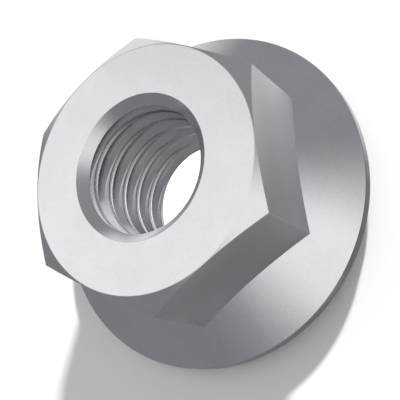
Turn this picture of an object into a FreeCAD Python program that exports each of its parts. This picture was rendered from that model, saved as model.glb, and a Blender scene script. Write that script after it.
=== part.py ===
import FreeCAD, Part
import os
from math import cos, pi, radians, sin, tan
from FreeCAD import Vector

# A hexagon nut with a serrated flange, one solid, right-hand thread.
# Lengths are in millimetres. The nut stands on its teeth with its axis on Z,
# the origin is the middle of the bearing face, and one corner of the hexagon is on +X.

# Threaded hole, drawn plain at the crest of the thread
thread_diameter = 5.0
thread_pitch = 0.8
countersink_depth = 0.3
countersink_angle = 90.0

# Hexagon
across_flats = 8.0
nut_height = 5.0
corner_slope = 30.0
top_margin = 0.02

# Flange
flange_diameter = 11.8
rim_height = 1.0
flange_slope = 25.0
bevel_width = 1.0
bevel_slope = 30.0

# Ratchet teeth under the flange
tooth_count = 24
tooth_depth = 0.25
land_angle = 2.4
inner_ring_width = 0.65

# Sizes that follow from those
thread_depth = 0.3125 * thread_pitch / tan(radians(30))
hole_radius = thread_diameter / 2 - thread_depth
countersink_radius = hole_radius + countersink_depth * tan(radians(countersink_angle / 2))
corner_radius = across_flats / 2 / cos(pi / 6)
top_face_radius = across_flats / 2 - top_margin
flange_radius = flange_diameter / 2
bearing_radius = flange_radius - bevel_width
tooth_start_radius = countersink_radius + inner_ring_width
clear = 1.0

origin = Vector(0, 0, 0)
axis = Vector(0, 0, 1)


def turned(points):
    # A solid of revolution from its section, given as (radius, height)
    corners = [Vector(radius, 0, height) for radius, height in points]
    section = Part.Face(Part.makePolygon(corners + corners[:1]))
    return section.revolve(origin, axis, 360)


def around(angle, radius, height):
    return Vector(radius * cos(angle), radius * sin(angle), height)


def hexagon():
    # The wrench prism, its six top corners cut back by one cone
    corners = [around(side * pi / 3, corner_radius, rim_height) for side in range(7)]
    prism = Part.Face(Part.makePolygon(corners)).extrude(axis * (nut_height - rim_height))
    reach = corner_radius + clear
    drop = (reach - top_face_radius) * tan(radians(corner_slope))
    return prism.common(turned([
        (0, 0),
        (reach, 0),
        (reach, nut_height - drop),
        (top_face_radius, nut_height),
        (0, nut_height),
    ]))


def flange():
    # Bevelled below, upright at the rim, and a cone that runs up into the hexagon
    top = rim_height + (flange_radius - hole_radius) * tan(radians(flange_slope))
    return turned([
        (0, 0),
        (bearing_radius, 0),
        (flange_radius, bevel_width * tan(radians(bevel_slope))),
        (flange_radius, rim_height),
        (hole_radius, top),
        (0, top),
    ])


def hole():
    # The plain hole with the cones that open it at both faces
    flare = tan(radians(countersink_angle / 2))
    mouth = countersink_radius + clear * flare
    return turned([
        (0, -clear),
        (mouth, -clear),
        (hole_radius, countersink_depth),
        (hole_radius, nut_height - countersink_depth),
        (mouth, nut_height + clear),
        (0, nut_height + clear),
    ])


def tooth_gap(index):
    # The space between two teeth. Its steep wall stands where one tooth ends and its long ramp
    # comes down to the next, so the nut slides when it is tightened and grips when it is turned back.
    wall = radians(index * 360 / tooth_count + land_angle / 2)
    foot = radians((index + 1) * 360 / tooth_count - land_angle / 2)
    reach = flange_radius + clear
    depth = tooth_depth * reach / bearing_radius
    crown = around(wall, reach, depth)
    below = around(wall, reach, -depth)
    beyond = crown + (around(foot, reach, 0) - crown) * 1.2
    faces = []
    for a, b, c in (
        (origin, below, crown),
        (origin, crown, beyond),
        (origin, beyond, below),
        (below, beyond, crown),
    ):
        faces.append(Part.Face(Part.makePolygon([a, b, c, a])))
    wedge = Part.Solid(Part.Shell(faces))
    return wedge.cut(Part.makeCylinder(tooth_start_radius, 2 * clear, Vector(0, 0, -clear)))


nut = hexagon().fuse(flange()).cut(hole())
nut = nut.cut([tooth_gap(index) for index in range(tooth_count)])
nut = nut.removeSplitter().Solids[0]
os.makedirs("parts", exist_ok=True)
nut.exportStep("parts/flange_nut.step")
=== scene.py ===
import bpy
import bmesh
from math import cos, pi, radians, sin, tan
from mathutils import Matrix, Vector


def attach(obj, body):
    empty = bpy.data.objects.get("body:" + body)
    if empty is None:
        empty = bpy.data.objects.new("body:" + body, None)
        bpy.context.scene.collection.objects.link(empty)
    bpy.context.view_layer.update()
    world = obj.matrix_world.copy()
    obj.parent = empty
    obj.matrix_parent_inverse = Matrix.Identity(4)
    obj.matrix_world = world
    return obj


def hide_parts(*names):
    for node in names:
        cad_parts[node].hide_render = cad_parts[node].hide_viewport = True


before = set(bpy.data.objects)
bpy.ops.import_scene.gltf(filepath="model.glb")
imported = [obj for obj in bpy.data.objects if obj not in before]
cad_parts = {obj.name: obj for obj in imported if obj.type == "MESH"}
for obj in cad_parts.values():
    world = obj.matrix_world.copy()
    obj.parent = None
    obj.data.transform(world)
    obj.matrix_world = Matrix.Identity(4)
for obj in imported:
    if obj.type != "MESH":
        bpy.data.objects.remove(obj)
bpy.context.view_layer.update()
print("frame loaded")

# The nut is modelled in millimetres and brought to metres at the end. One corner of the hexagon is on +X.
millimetre = 0.001

nut = {
    "acrossFlats": 8.0,
    "height": 5.0,
    "cornerSlope": 30.0,
    "topFaceRadius": 3.98,
    "flangeRadius": 5.9,
    "rimHeight": 1.0,
    "flangeSlope": 25.0,
    "coneTop": 1.5,  # radius where the flange's cone ends inside the hexagon
    "bevelWidth": 1.0,
    "bevelSlope": 30.0,
    "edge": 0.02,  # how far the outer edges are broken
    "edgeSteps": 3,
    "topEdge": 0.015,  # the same round the end face
    "topEdgeSteps": 2,
    "smoothAngle": 24,  # below this angle two faces shade as one
    "around": 240,  # steps round the turned shapes
    "overlap": 0.2,  # how far the hexagon starts inside the flange
    "spare": 0.5,  # and how much taller it is before the cone cuts it
    "coneReach": 1.2,  # how far out that cone goes, past the corners
}

threadHole = {  # right-hand thread, countersunk at both ends
    "crestRadius": 2.067,
    "rootRadius": 2.5,
    "pitch": 0.8,
    "countersinkDepth": 0.3,
    "lip": 0.008,  # the countersink's outer edge is broken by a flatter cone
    "hair": 0.001,  # the plain hole is this much smaller, so the thread's cutter shapes the crests too
    "flareRise": 1.0,  # the hole's cutter opens wide beyond both faces
    "flareWidth": 2.0,
    "grooveStart": 0.28,  # height of a groove's middle on +X
    "crestFlat": 0.25,  # flats of the profile, as shares of the pitch
    "rootFlat": 0.125,
    "flankAngle": 30.0,
    "round": 0.03,  # rounding of the crest and root corners
    "roundSteps": 5,
    "inset": 0.01,  # how far past the foot of a countersink the thread starts
    "turns": 10,  # more than the nut has, and cut back to its length afterwards
    "turnsBelow": 2,  # how many of them start below the first groove
    "steps": 120,  # steps in one turn
}

teeth = {
    "count": 24,
    "depth": 0.25,  # at the edge of the bearing face
    "land": 2.4,  # the flat tip of a tooth, in degrees
    "innerRing": 0.65,  # width of the flat ring between the countersink and the teeth
    "clear": 1.0,  # how far a gap's cutter goes past the flange
    "beyond": 1.2,  # its ramp runs on below the face, as a share of its length
}


def nothingSelected():
    if bpy.context.object and bpy.context.object.mode != "OBJECT":
        bpy.ops.object.mode_set(mode="OBJECT")
    bpy.ops.object.select_all(action="DESELECT")


def only(piece):
    nothingSelected()
    piece.select_set(True)
    bpy.context.view_layer.objects.active = piece


def pick(piece, kind, test):  # selects the faces, edges or vertices that pass the test, in edit mode
    only(piece)
    bpy.ops.object.mode_set(mode="EDIT")
    bpy.ops.mesh.select_mode(type={"verts": "VERT", "edges": "EDGE", "faces": "FACE"}[kind])
    bpy.ops.mesh.select_all(action="DESELECT")
    mesh = bmesh.from_edit_mesh(piece.data)
    for part in getattr(mesh, kind):
        if test(part):
            part.select = True
    mesh.select_flush_mode()
    bmesh.update_edit_mesh(piece.data)


def applyPlace(piece):
    only(piece)
    bpy.ops.object.transform_apply(location=True, rotation=True, scale=True)


def ring(edge, height, radius):  # an edge that runs round at this height and radius
    return all(abs(v.co.z - height) < 1e-4 and abs(v.co.xy.length - radius) < 1e-3 for v in edge.verts)


def grow(piece, face, rise, ratio):  # the end face is drawn along the axis and made wider or narrower
    pick(piece, "faces", face)
    bpy.ops.mesh.extrude_region_move(TRANSFORM_OT_translate={"value": (0, 0, rise)})
    bpy.ops.transform.resize(value=(ratio, ratio, 1))
    bpy.ops.object.mode_set(mode="OBJECT")


def topFace(face):
    return face.normal.z > 0.99


def bottomFace(face):
    return face.normal.z < -0.99


def join(piece, tool, how):
    only(piece)
    step = piece.modifiers.new(how.lower(), "BOOLEAN")
    step.operation = how
    step.solver = "EXACT"
    step.object = tool
    bpy.ops.object.modifier_apply(modifier=step.name)
    bpy.data.objects.remove(tool)


def makeFlange():
    foot = nut["bevelWidth"] * tan(radians(nut["bevelSlope"]))
    band = nut["rimHeight"] - foot
    nothingSelected()
    bpy.ops.mesh.primitive_cylinder_add(
        vertices=nut["around"],
        radius=nut["flangeRadius"],
        depth=band,
        location=(0, 0, foot + band / 2),
    )
    flange = bpy.context.object
    flange.name = "flangeBlank"
    applyPlace(flange)
    rise = (nut["flangeRadius"] - nut["coneTop"]) * tan(radians(nut["flangeSlope"]))
    grow(flange, topFace, rise, nut["coneTop"] / nut["flangeRadius"])
    grow(flange, bottomFace, -foot, 1 - nut["bevelWidth"] / nut["flangeRadius"])
    ends = (foot, nut["rimHeight"])
    pick(flange, "edges", lambda e: any(ring(e, height, nut["flangeRadius"]) for height in ends))
    bpy.ops.mesh.bevel(offset=nut["edge"], segments=nut["edgeSteps"], profile=0.5, affect="EDGES")
    bpy.ops.object.mode_set(mode="OBJECT")
    return flange


def makeHexagon():
    corner = nut["acrossFlats"] / 2 / cos(pi / 6)
    low = nut["rimHeight"] - nut["overlap"]
    tall = nut["height"] + nut["spare"] - low
    nothingSelected()
    bpy.ops.mesh.primitive_cylinder_add(
        vertices=6,
        radius=corner,
        depth=tall,
        location=(0, 0, low + tall / 2),
        rotation=(0, 0, pi / 6),
    )
    hexagon = bpy.context.object
    hexagon.name = "hexagonBlank"
    applyPlace(hexagon)
    pick(hexagon, "edges", lambda e: abs(e.verts[0].co.z - e.verts[1].co.z) > tall / 2)  # the upright ones
    bpy.ops.mesh.bevel(offset=nut["edge"], segments=nut["edgeSteps"], profile=0.5, affect="EDGES")
    bpy.ops.object.mode_set(mode="OBJECT")

    reach = nut["coneReach"]
    drop = reach * tan(radians(nut["cornerSlope"]))
    nothingSelected()
    bpy.ops.mesh.primitive_cone_add(
        vertices=nut["around"],
        radius1=nut["topFaceRadius"] + reach,
        radius2=nut["topFaceRadius"],
        depth=drop,
        location=(0, 0, nut["height"] - drop / 2),
    )
    cutter = bpy.context.object
    applyPlace(cutter)
    grow(cutter, bottomFace, -nut["height"], 1)
    pick(cutter, "edges", lambda e: ring(e, nut["height"], nut["topFaceRadius"]))
    bpy.ops.mesh.bevel(offset=nut["topEdge"], segments=nut["topEdgeSteps"], profile=0.5, affect="EDGES")
    bpy.ops.object.mode_set(mode="OBJECT")
    join(hexagon, cutter, "INTERSECT")
    return hexagon


def makeToothCutter():  # each gap is a wedge from the axis with a steep wall and a long ramp
    bearing = nut["flangeRadius"] - nut["bevelWidth"]
    reach = nut["flangeRadius"] + teeth["clear"]
    depth = teeth["depth"] * reach / bearing
    wall = radians(teeth["land"] / 2)
    foot = radians(360 / teeth["count"] - teeth["land"] / 2)
    nothingSelected()
    bpy.ops.mesh.primitive_cone_add(vertices=3, radius1=1, radius2=0, depth=reach, end_fill_type="NGON")
    gap = bpy.context.object
    crown = Vector((reach * cos(wall), reach * sin(wall), depth))
    rampEnd = Vector((reach * cos(foot), reach * sin(foot), 0))
    below = Vector((reach * cos(wall), reach * sin(wall), -depth))
    places = [below, crown, crown + (rampEnd - crown) * teeth["beyond"]]
    base = [v for v in gap.data.vertices if v.co.z < 0]  # becomes the outer end, the tip goes to the axis
    tip = [v for v in gap.data.vertices if v.co.z > 0]
    for vertex, place in zip(base, places):
        vertex.co = place
    for vertex in tip:
        vertex.co = (0, 0, 0)
    pick(gap, "faces", lambda f: True)
    bpy.ops.mesh.normals_make_consistent(inside=False)
    bpy.ops.object.mode_set(mode="OBJECT")
    nothingSelected()
    start = threadHole["crestRadius"] + threadHole["countersinkDepth"] + teeth["innerRing"]
    bpy.ops.mesh.primitive_cylinder_add(vertices=nut["around"], radius=start, depth=2 * teeth["clear"])
    join(gap, bpy.context.object, "DIFFERENCE")
    copies = []
    for index in range(1, teeth["count"]):
        other = gap.copy()
        other.data = gap.data.copy()
        bpy.context.scene.collection.objects.link(other)
        other.rotation_euler = (0, 0, index * 2 * pi / teeth["count"])
        copies.append(other)
    for other in copies:
        applyPlace(other)
    nothingSelected()
    for other in copies + [gap]:
        other.select_set(True)
    bpy.context.view_layer.objects.active = gap
    bpy.ops.object.join()
    return gap


def makeHoleCutter():
    crest = threadHole["crestRadius"] - threadHole["hair"]
    deep = threadHole["countersinkDepth"]
    lip = threadHole["lip"]
    mouth = crest + deep
    edge = mouth + lip
    rise, width = threadHole["flareRise"], threadHole["flareWidth"]
    nothingSelected()
    bpy.ops.mesh.primitive_cylinder_add(
        vertices=nut["around"],
        radius=crest,
        depth=nut["height"] - 2 * deep,
        location=(0, 0, nut["height"] / 2),
    )
    cutter = bpy.context.object
    applyPlace(cutter)
    for face, way in ((topFace, 1), (bottomFace, -1)):
        grow(cutter, face, way * (deep - lip), (mouth - lip) / crest)
        grow(cutter, face, way * lip, edge / (mouth - lip))
        grow(cutter, face, way * rise, (edge + width) / edge)
    return cutter


def makeThreadCutter():
    crest, root, pitch = threadHole["crestRadius"], threadHole["rootRadius"], threadHole["pitch"]
    crestFlat, rootFlat = pitch * threadHole["crestFlat"], pitch * threadHole["rootFlat"]
    flank = (root - crest) * tan(radians(threadHole["flankAngle"]))
    start = threadHole["grooveStart"] - rootFlat / 2 - flank - crestFlat - threadHole["turnsBelow"] * pitch
    heights = [0, crestFlat, crestFlat + flank, crestFlat + flank + rootFlat, pitch]
    radii = [crest, crest, root, root, crest]
    same = 0.0005  # points nearer than this are one
    nothingSelected()
    bpy.ops.mesh.primitive_circle_add(vertices=5, radius=1)
    thread = bpy.context.object
    pick(thread, "edges", lambda e: {v.index for v in e.verts} == {0, 4})  # the profile is left open
    bpy.ops.mesh.delete(type="EDGE")
    bpy.ops.object.mode_set(mode="OBJECT")
    for vertex, radius, height in zip(thread.data.vertices, radii, heights):
        vertex.co = (radius, 0, start + height)
    pick(thread, "verts", lambda v: v.index in (1, 2, 3))
    rounding, steps = threadHole["round"], threadHole["roundSteps"]
    bpy.ops.mesh.bevel(offset=rounding, segments=steps, profile=0.5, affect="VERTICES")
    bpy.ops.object.mode_set(mode="OBJECT")
    only(thread)
    turns = thread.modifiers.new("turns", "SCREW")
    turns.axis = "Z"
    turns.angle = 2 * pi
    turns.screw_offset = pitch
    turns.iterations = threadHole["turns"]
    turns.steps = threadHole["steps"]
    turns.render_steps = threadHole["steps"]
    turns.use_merge_vertices = True
    turns.merge_threshold = same
    bpy.ops.object.modifier_apply(modifier="turns")
    pick(thread, "faces", lambda f: True)
    bpy.ops.mesh.remove_doubles(threshold=same)
    up, fine = (0, 0, 1), 1e-6
    low = threadHole["countersinkDepth"] + threadHole["inset"]
    high = nut["height"] - low
    bpy.ops.mesh.select_all(action="SELECT")
    bpy.ops.mesh.bisect(plane_co=(0, 0, low), plane_no=up, use_fill=True, clear_inner=True, threshold=fine)
    bpy.ops.mesh.select_all(action="SELECT")
    bpy.ops.mesh.bisect(plane_co=(0, 0, high), plane_no=up, use_fill=True, clear_outer=True, threshold=fine)
    bpy.ops.mesh.select_all(action="SELECT")
    bpy.ops.mesh.normals_make_consistent(inside=False)
    bpy.ops.object.mode_set(mode="OBJECT")
    return thread


# The tests below tell the nut's surfaces apart by place and direction, while it is still in millimetres.

limits = {
    "coneNormal": 0.02,  # how far the upright part of a countersink's normal may be from that of 45 degrees
    "coneEnd": 0.01,  # how far a countersink may run on past its foot
    "footBand": 0.1,  # how far up the countersink an edge at its foot may reach
    "flatNormal": 0.05,  # the same as coneNormal for the sides of the hexagon, from level
    "flatRadius": (3.0, 4.7),  # how far from the axis the middle of a side may be
    "rimBand": 0.1,  # width of the ring that counts as the rim
    "bearingTop": 0.56,  # the teeth and the lower bevel are below this
    "bearingRadius": 2.4,
    "threadBand": 0.1,  # how far behind the thread's root a face may be
    "threadEnd": 0.005,  # the thread's faces start this far past the foot of a countersink
    "upNormal": 0.9999,  # the end face looks straight up
}


def between(height, margin):  # within the hole, this far away from both countersinks
    foot = threadHole["countersinkDepth"] + margin
    return foot < height < nut["height"] - foot


def radiusOf(face):
    return face.calc_center_median().xy.length


def heightOf(face):
    return face.calc_center_median().z


def isCone(face):  # the two countersinks
    if abs(abs(face.normal.z) - cos(pi / 4)) > limits["coneNormal"]:
        return False
    return radiusOf(face) < threadHole["rootRadius"] and not between(heightOf(face), limits["coneEnd"])


def isConeFoot(edge):  # where a countersink ends at the thread
    inside = all(between(v.co.z, -limits["footBand"]) for v in edge.verts)
    return inside and sum(isCone(f) for f in edge.link_faces) == 1


def isFlat(face):  # the six sides of the hexagon
    near, far = limits["flatRadius"]
    return abs(face.normal.z) < limits["flatNormal"] and near < radiusOf(face) < far


def isRim(face):
    return radiusOf(face) > nut["flangeRadius"] - limits["rimBand"] and heightOf(face) < nut["rimHeight"]


def isBearing(face):  # the bearing face with its teeth and bevel
    outside = nut["flangeRadius"] - limits["rimBand"]
    return heightOf(face) < limits["bearingTop"] and limits["bearingRadius"] < radiusOf(face) < outside


def isThread(face):
    near = radiusOf(face) < threadHole["rootRadius"] + limits["threadBand"]
    return near and between(heightOf(face), limits["threadEnd"]) and not isCone(face)


def isEndFaceEdge(edge):
    return any(f.normal.z > limits["upNormal"] for f in edge.link_faces)


def isOffThread(vertex):
    beyond = vertex.co.xy.length > threadHole["rootRadius"] + limits["threadBand"] / 2
    return beyond or not between(vertex.co.z, limits["coneEnd"])


flangeNut = makeFlange()
join(flangeNut, makeHexagon(), "UNION")
print("flange and hexagon joined")
join(flangeNut, makeToothCutter(), "DIFFERENCE")
print("teeth cut")
join(flangeNut, makeHoleCutter(), "DIFFERENCE")
join(flangeNut, makeThreadCutter(), "DIFFERENCE")
print("hole and thread cut")
flangeNut.name = "flangeNut"
flangeNut.data.name = "flangeNut"

# smooth shading that keeps the wide faces flat, and leaves the thread's own normals
only(flangeNut)
bpy.ops.object.shade_smooth_by_angle(angle=radians(nut["smoothAngle"]))
pick(flangeNut, "edges", lambda e: isConeFoot(e) or isEndFaceEdge(e))
bpy.ops.mesh.mark_sharp()
pick(flangeNut, "verts", isOffThread)
bpy.ops.object.vertex_group_assign_new()
bpy.ops.object.mode_set(mode="OBJECT")
smooth = flangeNut.modifiers.new("evenNormals", "WEIGHTED_NORMAL")
smooth.vertex_group = flangeNut.vertex_groups[0].name
smooth.mode = "FACE_AREA"
smooth.weight = 50
smooth.keep_sharp = True
bpy.ops.object.modifier_apply(modifier="evenNormals")
bpy.ops.object.vertex_group_remove(all=True)
print("normals set")

# How each kind of surface looks. A painted shade makes the tone lighter or darker slowly along a direction,
# in place of light and shade:
# it names the direction, two distances along it in mm, and the tone at each. Bare does the same for how
# metallic the surface is.
finish = {
    "turned": {
        "color": (0.748, 0.748, 0.743),
        "roughness": 0.1,
        "rings": 0.5,  # share of lathe rings in the fine marks, the rest is grain
        # painted light: a little lighter towards -Y
        "paintedShades": [((0, 1, 0), -4, 4, 1.06, 0.97)],
        "bare": [],
    },
    # the countersinks: painted light on the side towards +X, and painted shade near azimuth -30
    "cone": {
        "color": (0.71, 0.71, 0.715),
        "roughness": 0.22,
        "rings": 0.8,
        "paintedShades": [
            ((1, 0, 0), 0.3, 1.6, 1.0, 1.33),
            ((0.707, 0.707, 0), 1.65, 2.2, 1.0, 1.3),
            ((0.866, -0.5, 0), 2.0, 2.25, 1.0, 0.65),
        ],
        "bare": [
            ((1, 0, 0), 0.4, 1.2, 1.0, 0.88),
            ((0.574, -0.819, 0), 1.4, 2.3, 1.0, 0.65),
        ],
    },
    # the hexagon's flats: a duller finish, and a darker colour as painted shade; painted light makes them
    # lighter towards +Y and low down near the flange
    "paintedShadeFlats": {
        "color": (0.42, 0.42, 0.438),
        "roughness": 0.45,
        "rings": 0.0,
        "paintedShades": [
            ((0, 1, 0), -0.6, 2.6, 0.74, 1.2),
            ((0, 1, 0), -0.1, 0.15, 1.0, 1.08),
            ((0, 1, 0), -3.2, -1.2, 1.12, 1.0),
            ((0, 0, 1), 1.5, 4.5, 1.55, 0.87),
        ],
        "bare": [],
    },
    # the flange's rim: dark steel as painted shade, with a darker painted band on the +X side and painted
    # light towards +Y
    "rim": {
        "color": (0.205, 0.205, 0.22),
        "roughness": 0.3,
        "rings": 0.0,
        "paintedShades": [
            ((0.985, 0.174, 0), 5.3, 5.78, 1.32, 0.25),
            ((0, 1, 0), 2.9, 4.3, 1.0, 1.65),
        ],
        "bare": [],
    },
    # the teeth and the lower bevel: a duller finish, and darker as painted shade under the flange
    "bearing": {
        "color": (0.5, 0.5, 0.505),
        "roughness": 0.35,
        "rings": 0.3,
        "paintedShades": [],
        "bare": [],
    },
    # the thread's colour is scaled by the painted light and shade of the thread below
    "thread": {
        "color": (0.96, 0.96, 1.0),
        "roughness": 0.3,
        "rings": 0.0,
        "paintedShades": [],
        "bare": [((0, 1, 0), -1.9, -1.0, 0.74, 1.0)],
    },
}

wear = {  # the same on every finish
    "cloud": (700, 3),  # noise: its scale per metre, and its detail
    "grain": (9000, 4),
    "ring": (12000, 2),
    "noiseRange": (0.3, 0.7),  # most of a noise lies in this range
    "cloudTone": 0.025,  # how far clouds in the plating change the tone, up and down
    "grainTone": 0.015,
    "ringRise": 2.0,  # rings on a cone or a wall go by height too
    "roughnessRange": 0.03,
    "markStrength": 0.15,
    "markDepth": 0.0000015,
    "cornerRadius": 0.00004,
    "cornerSamples": 4,
    "cornerTurn": 0.9,  # a corner is fully worn where rounding turns its normal this far, as a cosine
    "cornerTone": 1.12,
}

# Painted light on the thread: highlight lines painted along the crests' edges, and painted shade in the
# groove between them, lighter and darker by side. Four numbers are a range in mm and the tone at its two
# ends, along Y where nothing else is said.
threadPaintedLight = {
    "crest": (0.1, 1.5, 0.26, 0.089),
    "crestTop": (3.2, 4.7, 1.0, 1.9),  # along Z: painted light, brighter under the countersink, where less light comes back
    # lowerLine and upperLine are painted highlight lines along a crest's two edges, brighter towards -Y
    "lowerLine": (0.5, -1.5, 0.0, 0.65),
    "lowerPlace": (0.07, 0.07),  # middle and half width of a painted highlight line, as shares of the pitch
    "upperLine": (-0.6, -1.8, 0.0, 0.5),
    "upperPlace": (0.21, 0.05),
    "groove": 0.235,
    "grooveSide": (0.9, 2.0, 0.0, 0.27),
    "grooveFront": 0.35,  # painted light that grows with the square of the distance towards -Y
    "grooveFloor": (0.13, 0.3, 0.0, 1.0),  # by depth: painted light deep in the groove
    "floorSide": (0.45, 1.6),  # middle and half width, along Y, of the part where that counts
    "shoulder": (0.027, -0.07),  # how far a crest's painted highlight reaches down its flank, and the change along Y
    "shoulderTone": (-0.01, 0.02, 1.5, 1.0),  # by the distance beyond that reach
    # a painted highlight line where that painted highlight ends on the flank
    "shoulderPaintedHighlight": (0.5, -0.8, 0.0, 0.45),
    "shoulderHalf": 0.03,
    "crestDepth": (0.002, 0.006, 1.0, 0.0),  # by depth: 1 on a crest, 0 in the groove
}


def newMaterial(name):
    material = bpy.data.materials.new(name)
    material.use_nodes = True
    material.node_tree.nodes.clear()
    return material, material.node_tree


def put(tree, value, socket):  # a number is set on the socket itself, anything else is linked to it
    if isinstance(value, (int, float)):
        socket.default_value = value
    else:
        tree.links.new(value, socket)


def mathNode(tree, how, first, second=0.0):
    node = tree.nodes.new("ShaderNodeMath")
    node.operation = how
    put(tree, first, node.inputs[0])
    put(tree, second, node.inputs[1])
    return node.outputs[0]


def times(tree, first, *others):
    for other in others:
        first = mathNode(tree, "MULTIPLY", first, other)
    return first


def plus(tree, first, *others):
    for other in others:
        first = mathNode(tree, "ADD", first, other)
    return first


def minus(tree, first, second):
    return mathNode(tree, "SUBTRACT", first, second)


def smoothStep(tree, value, low, high, atLow, atHigh):
    node = tree.nodes.new("ShaderNodeMapRange")
    node.interpolation_type = "SMOOTHSTEP"
    tree.links.new(value, node.inputs["Value"])
    node.inputs["From Min"].default_value = low
    node.inputs["From Max"].default_value = high
    node.inputs["To Min"].default_value = atLow
    node.inputs["To Max"].default_value = atHigh
    return node.outputs["Result"]


def noiseNode(tree, place, kind):
    node = tree.nodes.new("ShaderNodeTexNoise")
    node.inputs["Scale"].default_value, node.inputs["Detail"].default_value = wear[kind]
    tree.links.new(place, node.inputs["Vector"])
    return node.outputs["Fac"]


def about(tree, noise, middle, spread):  # noise brought round a middle value
    return smoothStep(tree, noise, *wear["noiseRange"], middle - spread, middle + spread)


def axes(tree, place):
    parts = tree.nodes.new("ShaderNodeSeparateXYZ")
    tree.links.new(place, parts.inputs[0])
    return parts.outputs


def distance(tree, x, y):
    return mathNode(tree, "SQRT", plus(tree, times(tree, x, x), times(tree, y, y)))


def dotWith(tree, place, way):
    node = tree.nodes.new("ShaderNodeVectorMath")
    node.operation = "DOT_PRODUCT"
    tree.links.new(place, node.inputs[0])
    node.inputs[1].default_value = way
    return node.outputs["Value"]


def slope(tree, place, way, low, high, atLow, atHigh):  # a value that changes along a direction, in mm
    low, high = low * millimetre, high * millimetre
    return smoothStep(tree, dotWith(tree, place, way), low, high, atLow, atHigh)


def hump(tree, value, middle, half):  # 1 at the middle, 0 from half a width away
    away = mathNode(tree, "ABSOLUTE", minus(tree, value, middle))
    return smoothStep(tree, away, 0.0, half, 1.0, 0.0)


def wornEdges(tree):  # 1 on sharp corners, 0 on open faces
    rounded = tree.nodes.new("ShaderNodeBevel")
    rounded.samples = wear["cornerSamples"]
    rounded.inputs["Radius"].default_value = wear["cornerRadius"]
    shape = tree.nodes.new("ShaderNodeNewGeometry")
    turn = tree.nodes.new("ShaderNodeVectorMath")
    turn.operation = "DOT_PRODUCT"
    tree.links.new(rounded.outputs["Normal"], turn.inputs[0])
    tree.links.new(shape.outputs["Normal"], turn.inputs[1])
    return smoothStep(tree, turn.outputs["Value"], wear["cornerTurn"], 1.0, 1.0, 0.0)


def placeInThread(tree, x, y, z):  # 0 at the lower edge of a crest, 1 at that of the next one
    pitch = threadHole["pitch"]
    deep = threadHole["rootRadius"] - threadHole["crestRadius"]
    flank = deep * tan(radians(threadHole["flankAngle"])) / pitch
    start = threadHole["grooveStart"] / pitch + threadHole["rootFlat"] / 2 + flank
    turn = mathNode(tree, "DIVIDE", mathNode(tree, "ARCTAN2", y, x), 2 * pi)
    along = minus(tree, times(tree, z, 1 / (pitch * millimetre)), turn)
    return mathNode(tree, "FRACT", minus(tree, along, start))


# painted light on a crest: a tone darker towards +Y, and painted highlight lines along its two edges
def crestPaintedLight(tree, side, height, along):
    tone = smoothStep(tree, side, *threadPaintedLight["crest"])
    tone = times(tree, tone, smoothStep(tree, height, *threadPaintedLight["crestTop"]))
    for edge in ("lower", "upper"):
        paintedHighlight = smoothStep(tree, side, *threadPaintedLight[edge + "Line"])
        paintedHighlight = times(tree, paintedHighlight, hump(tree, along, *threadPaintedLight[edge + "Place"]))
        tone = plus(tree, tone, paintedHighlight)
    return mathNode(tree, "MINIMUM", tone, 1.0)


# painted shade in the groove, with painted light deep down and towards -Y, and a painted highlight line on
# the flank
def groovePaintedShade(tree, side, depth):
    front = mathNode(tree, "MINIMUM", side, 0.0)
    front = times(tree, front, front, threadPaintedLight["grooveFront"])
    tone = plus(tree, smoothStep(tree, side, *threadPaintedLight["grooveSide"]), threadPaintedLight["groove"], front)
    deep = smoothStep(tree, depth, *threadPaintedLight["grooveFloor"])
    deep = times(tree, deep, hump(tree, side, *threadPaintedLight["floorSide"]))
    tone = times(tree, tone, plus(tree, deep, 1.0))
    reach, change = threadPaintedLight["shoulder"]
    beyond = minus(tree, depth, plus(tree, times(tree, side, change), reach))
    paintedHighlight = smoothStep(tree, side, *threadPaintedLight["shoulderPaintedHighlight"])
    paintedHighlight = times(tree, paintedHighlight, hump(tree, beyond, 0.0, threadPaintedLight["shoulderHalf"]))
    tone = plus(tree, times(tree, tone, smoothStep(tree, beyond, *threadPaintedLight["shoulderTone"])), paintedHighlight)
    return mathNode(tree, "MINIMUM", tone, 1.0)


# the thread's tone is all painted light and shade: the crest's and the groove's, blended by depth
def paintThreadLight(tree, x, y, z):
    side = times(tree, y, 1 / millimetre)
    height = times(tree, z, 1 / millimetre)
    radius = times(tree, distance(tree, x, y), 1 / millimetre)
    depth = minus(tree, radius, threadHole["crestRadius"])
    onCrest = smoothStep(tree, depth, *threadPaintedLight["crestDepth"])
    crest = times(tree, crestPaintedLight(tree, side, height, placeInThread(tree, x, y, z)), onCrest)
    groove = times(tree, groovePaintedShade(tree, side, depth), minus(tree, 1.0, onCrest))
    return plus(tree, crest, groove)


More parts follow.
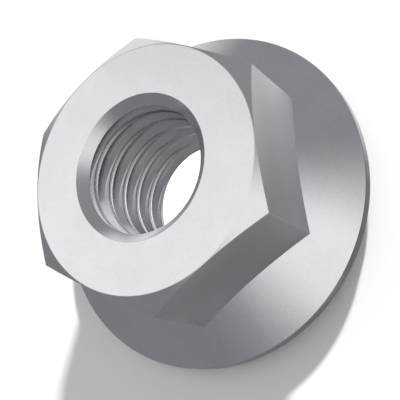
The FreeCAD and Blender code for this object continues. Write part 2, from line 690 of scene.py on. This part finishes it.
def makeSteel(kind):
    look = finish[kind]
    material, tree = newMaterial(kind + "Steel")
    out = tree.nodes.new("ShaderNodeOutputMaterial")
    metal = tree.nodes.new("ShaderNodeBsdfPrincipled")
    tree.links.new(metal.outputs["BSDF"], out.inputs["Surface"])
    place = tree.nodes.new("ShaderNodeTexCoord").outputs["Object"]
    x, y, z = axes(tree, place)
    cloud = noiseNode(tree, place, "cloud")
    grain = noiseNode(tree, place, "grain")

    bare = 1.0
    for part in look["bare"]:
        bare = times(tree, bare, slope(tree, place, *part))
    put(tree, bare, metal.inputs["Metallic"])

    # tone: clouds in the plating, the slow painted light and shade, fine grain, then painted highlights and
    # shade on the thread, or brighter worn corners elsewhere
    tone = about(tree, cloud, 1.0, wear["cloudTone"])
    for shade in look["paintedShades"]:
        tone = times(tree, tone, slope(tree, place, *shade))
    tone = times(tree, tone, about(tree, grain, 1.0, wear["grainTone"]))
    if kind == "thread":
        tone = times(tree, tone, paintThreadLight(tree, x, y, z))
    else:
        tone = times(tree, tone, smoothStep(tree, wornEdges(tree), 0.0, 1.0, 1.0, wear["cornerTone"]))
    color = tree.nodes.new("ShaderNodeVectorMath")
    color.operation = "SCALE"
    color.inputs[0].default_value = look["color"]
    tree.links.new(tone, color.inputs["Scale"])
    tree.links.new(color.outputs[0], metal.inputs["Base Color"])

    # fine rings left by the lathe on the turned faces, and grain
    spread = tree.nodes.new("ShaderNodeCombineXYZ")
    tree.links.new(plus(tree, distance(tree, x, y), times(tree, z, wear["ringRise"])), spread.inputs[0])
    rings = noiseNode(tree, spread.outputs[0], "ring")
    marks = plus(tree, times(tree, rings, look["rings"]), times(tree, grain, 1 - look["rings"]))
    rough = about(tree, marks, look["roughness"], wear["roughnessRange"])
    tree.links.new(rough, metal.inputs["Roughness"])
    bump = tree.nodes.new("ShaderNodeBump")
    bump.inputs["Strength"].default_value = wear["markStrength"]
    bump.inputs["Distance"].default_value = wear["markDepth"]
    tree.links.new(marks, bump.inputs["Height"])
    tree.links.new(bump.outputs["Normal"], metal.inputs["Normal"])
    return material


surfaces = {"cone": isCone, "paintedShadeFlats": isFlat, "rim": isRim, "bearing": isBearing, "thread": isThread}
flangeNut.data.materials.clear()
flangeNut.data.materials.append(makeSteel("turned"))  # all that no test below picks
for kind, test in surfaces.items():
    flangeNut.data.materials.append(makeSteel(kind))
    flangeNut.active_material_index = len(flangeNut.data.materials) - 1
    pick(flangeNut, "faces", test)
    bpy.ops.object.material_slot_assign()
    bpy.ops.object.mode_set(mode="OBJECT")
print("steel made")

pick(flangeNut, "faces", lambda f: True)
bpy.ops.transform.resize(value=(millimetre, millimetre, millimetre), center_override=(0, 0, 0))
bpy.ops.object.mode_set(mode="OBJECT")
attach(flangeNut, "root")
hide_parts("flange_nut")
print("nut placed")

studio = {
    "floorColor": (0.8, 0.8, 0.782),
    "floorRadius": 0.017,
    "floorSides": 128,
    "holeBlend": 1.05,  # the painted glow under the hole ends at this many times its radius
    "domeTone": (-0.5, 0.5, 0.23, 0.32),  # by direction: grey, lighter towards +Y
    "stripMiddle": -0.04,  # a bright strip overhead along X, its middle across Y
    "stripEdge": (0.106, 0.714, 1.0, 0.0),  # it fades with the distance from there
    "stripFoot": (0.3, 0.55, 0.0, 1.0),  # and towards the horizon
    "stripTone": 0.72,
    "patchWay": (-0.842, 0.517, -0.152),  # a bright patch low down on one side
    "patchEdge": (0.85, 1.0, 0.0, 0.64),
    "blue": 0.024,  # the light is a little cooler than grey
    "keyPlace": (97, 28),  # azimuth and elevation of the key light
    "keyDistance": 0.1,
    "keyStrength": 4.9,
    "keyAngle": 4.0,
}


def direction(azimuth, elevation):
    a, e = radians(azimuth), radians(elevation)
    return Vector((cos(a) * cos(e), sin(a) * cos(e), sin(e)))


def makeWorld():
    world = bpy.data.worlds.new("studioDome")
    bpy.context.scene.world = world
    world.use_nodes = True
    tree = world.node_tree
    tree.nodes.clear()
    out = tree.nodes.new("ShaderNodeOutputWorld")
    back = tree.nodes.new("ShaderNodeBackground")
    tree.links.new(back.outputs[0], out.inputs["Surface"])
    way = tree.nodes.new("ShaderNodeTexCoord").outputs["Generated"]
    across, height = axes(tree, way)[1:]
    dome = smoothStep(tree, across, *studio["domeTone"])
    away = mathNode(tree, "ABSOLUTE", minus(tree, across, studio["stripMiddle"]))
    strip = smoothStep(tree, away, *studio["stripEdge"])
    strip = times(tree, strip, smoothStep(tree, height, *studio["stripFoot"]), studio["stripTone"])
    patch = smoothStep(tree, dotWith(tree, way, studio["patchWay"]), *studio["patchEdge"])
    light = plus(tree, dome, strip, patch)
    # the camera sees plain white beyond the floor
    path = tree.nodes.new("ShaderNodeLightPath")
    light = mathNode(tree, "MAXIMUM", light, path.outputs["Is Camera Ray"])
    tint = tree.nodes.new("ShaderNodeCombineColor")
    tree.links.new(light, tint.inputs[0])
    tree.links.new(light, tint.inputs[1])
    tree.links.new(plus(tree, light, studio["blue"]), tint.inputs[2])
    tree.links.new(tint.outputs[0], back.inputs["Color"])


def makeFloor():
    nothingSelected()
    sides, radius = studio["floorSides"], studio["floorRadius"]
    bpy.ops.mesh.primitive_circle_add(vertices=sides, radius=radius, fill_type="NGON")
    floor = bpy.context.object
    floor.name = "floor"
    material, tree = newMaterial("paleFloor")
    out = tree.nodes.new("ShaderNodeOutputMaterial")
    cover = tree.nodes.new("ShaderNodeBsdfDiffuse")
    cover.inputs["Color"].default_value = (*studio["floorColor"], 1)
    x, y = axes(tree, tree.nodes.new("ShaderNodeTexCoord").outputs["Object"])[:2]
    # painted light: the floor glows white under the hole to camera, mirror and transmission rays, though
    # the nut shades it there
    path = tree.nodes.new("ShaderNodeLightPath")
    seen = mathNode(tree, "MAXIMUM", path.outputs["Is Camera Ray"], path.outputs["Is Glossy Ray"])
    seen = mathNode(tree, "MAXIMUM", seen, path.outputs["Is Transmission Ray"])
    hole = (threadHole["crestRadius"] + threadHole["countersinkDepth"]) * millimetre
    spot = smoothStep(tree, distance(tree, x, y), hole, hole * studio["holeBlend"], 1.0, 0.0)
    glow = tree.nodes.new("ShaderNodeEmission")
    tree.links.new(times(tree, seen, spot), glow.inputs["Strength"])
    both = tree.nodes.new("ShaderNodeAddShader")
    tree.links.new(cover.outputs[0], both.inputs[0])
    tree.links.new(glow.outputs[0], both.inputs[1])
    tree.links.new(both.outputs[0], out.inputs["Surface"])
    floor.data.materials.append(material)


def makeKey():
    toKey = direction(*studio["keyPlace"])
    nothingSelected()
    bpy.ops.object.light_add(type="SUN", location=toKey * studio["keyDistance"])
    key = bpy.context.object
    key.name = "keyLight"
    key.data.energy = studio["keyStrength"]
    key.data.angle = radians(studio["keyAngle"])
    key.rotation_mode = "QUATERNION"
    key.rotation_quaternion = toKey.to_track_quat("Z", "Y")
    key.visible_glossy = False  # the steel doesn't mirror the light itself


makeWorld()
makeFloor()
makeKey()
print("studio made")

camera = {  # found from the corners of the hexagon and the circles of the photograph
    "place": (0.014287, -0.001149, 0.022885),
    "right": (0.78792, 0.36133, -0.49862),
    "up": (-0.28304, 0.93165, 0.22786),
    "fieldOfView": 30.0,
    "sensor": 36,
    "clip": (0.001, 2),
}


def makeCamera():
    nothingSelected()
    bpy.ops.object.camera_add(location=camera["place"])
    view = bpy.context.object
    right, up = Vector(camera["right"]).normalized(), Vector(camera["up"]).normalized()
    turn = Matrix((right, up, right.cross(up))).transposed()
    view.rotation_euler = turn.to_euler()
    view.data.sensor_width = camera["sensor"]
    view.data.angle = radians(camera["fieldOfView"])
    view.data.clip_start, view.data.clip_end = camera["clip"]
    bpy.context.scene.camera = view


makeCamera()
bpy.context.scene.view_settings.view_transform = "Standard"
print("camera placed")
